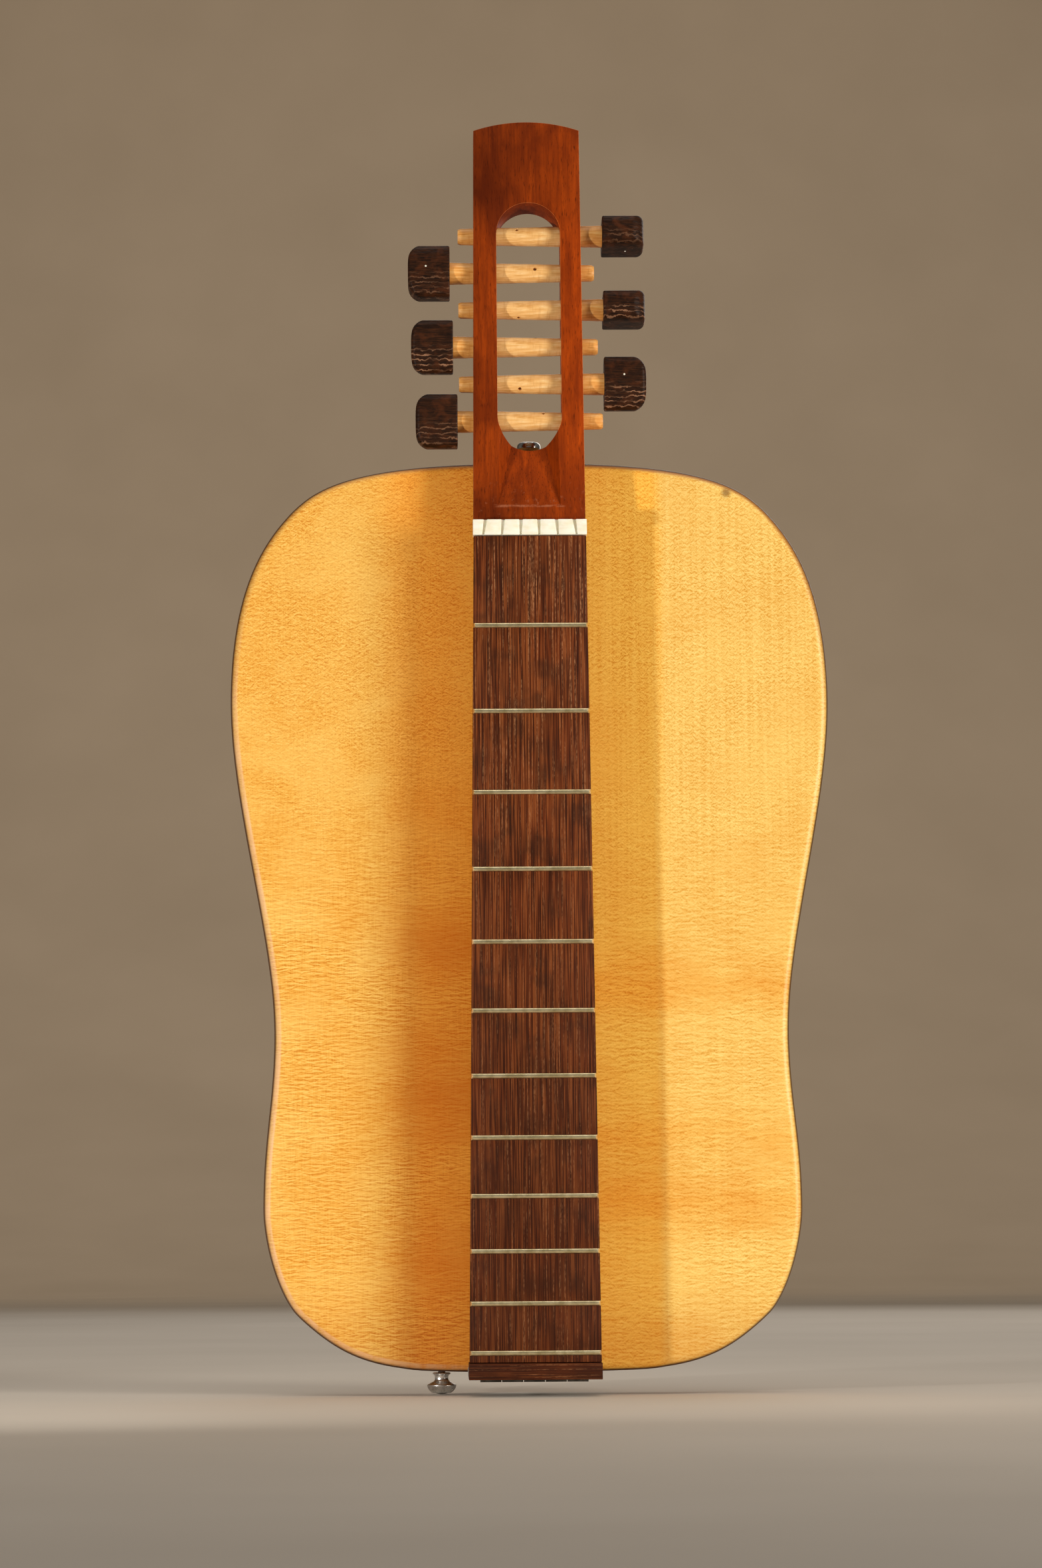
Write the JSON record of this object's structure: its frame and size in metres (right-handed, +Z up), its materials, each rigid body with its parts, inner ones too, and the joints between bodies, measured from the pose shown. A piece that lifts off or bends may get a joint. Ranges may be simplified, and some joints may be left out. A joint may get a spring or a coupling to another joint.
{
  "type": "folding travel guitar",
  "caption": "Unstrung folding travel guitar: a slot-head neck folded on an end hinge over the back of a thin, waisted wooden body, with wooden friction pegs that turn.",
  "frame": {"origin": "on the centreline, half way through the body's depth, at the lowest point of the rim beside the neck joint", "axes": "+Z runs up from the neck joint to the tail, +Y from the back plate to the soundboard, +X to the right as the back is looked at"},
  "size_m": [0.242, 0.0653, 0.5158],
  "materials": {
    "maple": "gloss",
    "spruce": "gloss",
    "mahogany": "satin",
    "wenge": "matte",
    "boxwood": "satin",
    "bone": "satin",
    "nickel_silver": "polished",
    "chrome": "polished",
    "steel": "satin"
  },
  "bodies": {
    "body": {"back_plate": "maple", "rib_left": "maple", "rib_right": "maple", "soundboard": "spruce", "back_lining_left": "spruce", "back_lining_right": "spruce", "top_lining_left": "spruce", "top_lining_right": "spruce", "back_brace_lower": "spruce", "back_brace_middle": "spruce", "back_brace_upper": "spruce", "harmonic_bar_lower": "spruce", "harmonic_bar_upper": "spruce", "fan_brace_left": "spruce", "fan_brace_right": "spruce", "neck_block": "mahogany", "tail_block": "mahogany", "bridge": "wenge", "joint_plate_body": "wenge", "saddle": "bone", "strap_button_tail": "chrome", "strap_button_heel": "chrome", "hinge_leaf_body": "steel", "hinge_pin": "steel", "hinge_screw_body_left": "steel", "hinge_screw_body_right": "steel", "strap_screw_tail": "steel", "strap_screw_heel": "steel"},
    "neck": {"neck_shaft": "mahogany", "headstock": "mahogany", "fingerboard": "wenge", "nut": "bone", "fret_01": "nickel_silver", "fret_02": "nickel_silver", "fret_03": "nickel_silver", "fret_04": "nickel_silver", "fret_05": "nickel_silver", "fret_06": "nickel_silver", "fret_07": "nickel_silver", "fret_08": "nickel_silver", "fret_09": "nickel_silver", "fret_10": "nickel_silver", "fret_11": "nickel_silver", "fret_12": "nickel_silver", "joint_plate_neck": "wenge", "hinge_leaf_neck": "steel", "hinge_screw_neck_left": "steel", "hinge_screw_neck_right": "steel"},
    "peg_1": {"peg_1_shaft": "boxwood", "peg_1_head": "wenge"},
    "peg_2": {"peg_2_shaft": "boxwood", "peg_2_head": "wenge"},
    "peg_3": {"peg_3_shaft": "boxwood", "peg_3_head": "wenge"},
    "peg_4": {"peg_4_shaft": "boxwood", "peg_4_head": "wenge"},
    "peg_5": {"peg_5_shaft": "boxwood", "peg_5_head": "wenge"},
    "peg_6": {"peg_6_shaft": "boxwood", "peg_6_head": "wenge"}
  },
  "joints": [
    {"name": "neck_fold", "type": "hinge", "parent": "body", "child": "neck", "pos_m": [0, -0.01025, -0.00235], "axis": [1, 0, 0], "range_deg": [0, 180]},
    {"name": "peg_1_turn", "type": "hinge", "parent": "neck", "child": "peg_1", "pos_m": [0, -0.02218, 0.38243], "axis": [1, 0, 0], "continuous": true},
    {"name": "peg_2_turn", "type": "hinge", "parent": "neck", "child": "peg_2", "pos_m": [0, -0.02082, 0.39797], "axis": [1, 0, 0], "continuous": true},
    {"name": "peg_3_turn", "type": "hinge", "parent": "neck", "child": "peg_3", "pos_m": [0, -0.01946, 0.41351], "axis": [1, 0, 0], "continuous": true},
    {"name": "peg_4_turn", "type": "hinge", "parent": "neck", "child": "peg_4", "pos_m": [0, -0.0181, 0.42905], "axis": [1, 0, 0], "continuous": true},
    {"name": "peg_5_turn", "type": "hinge", "parent": "neck", "child": "peg_5", "pos_m": [0, -0.01674, 0.44459], "axis": [1, 0, 0], "continuous": true},
    {"name": "peg_6_turn", "type": "hinge", "parent": "neck", "child": "peg_6", "pos_m": [0, -0.01538, 0.46013], "axis": [1, 0, 0], "continuous": true}
  ]
}
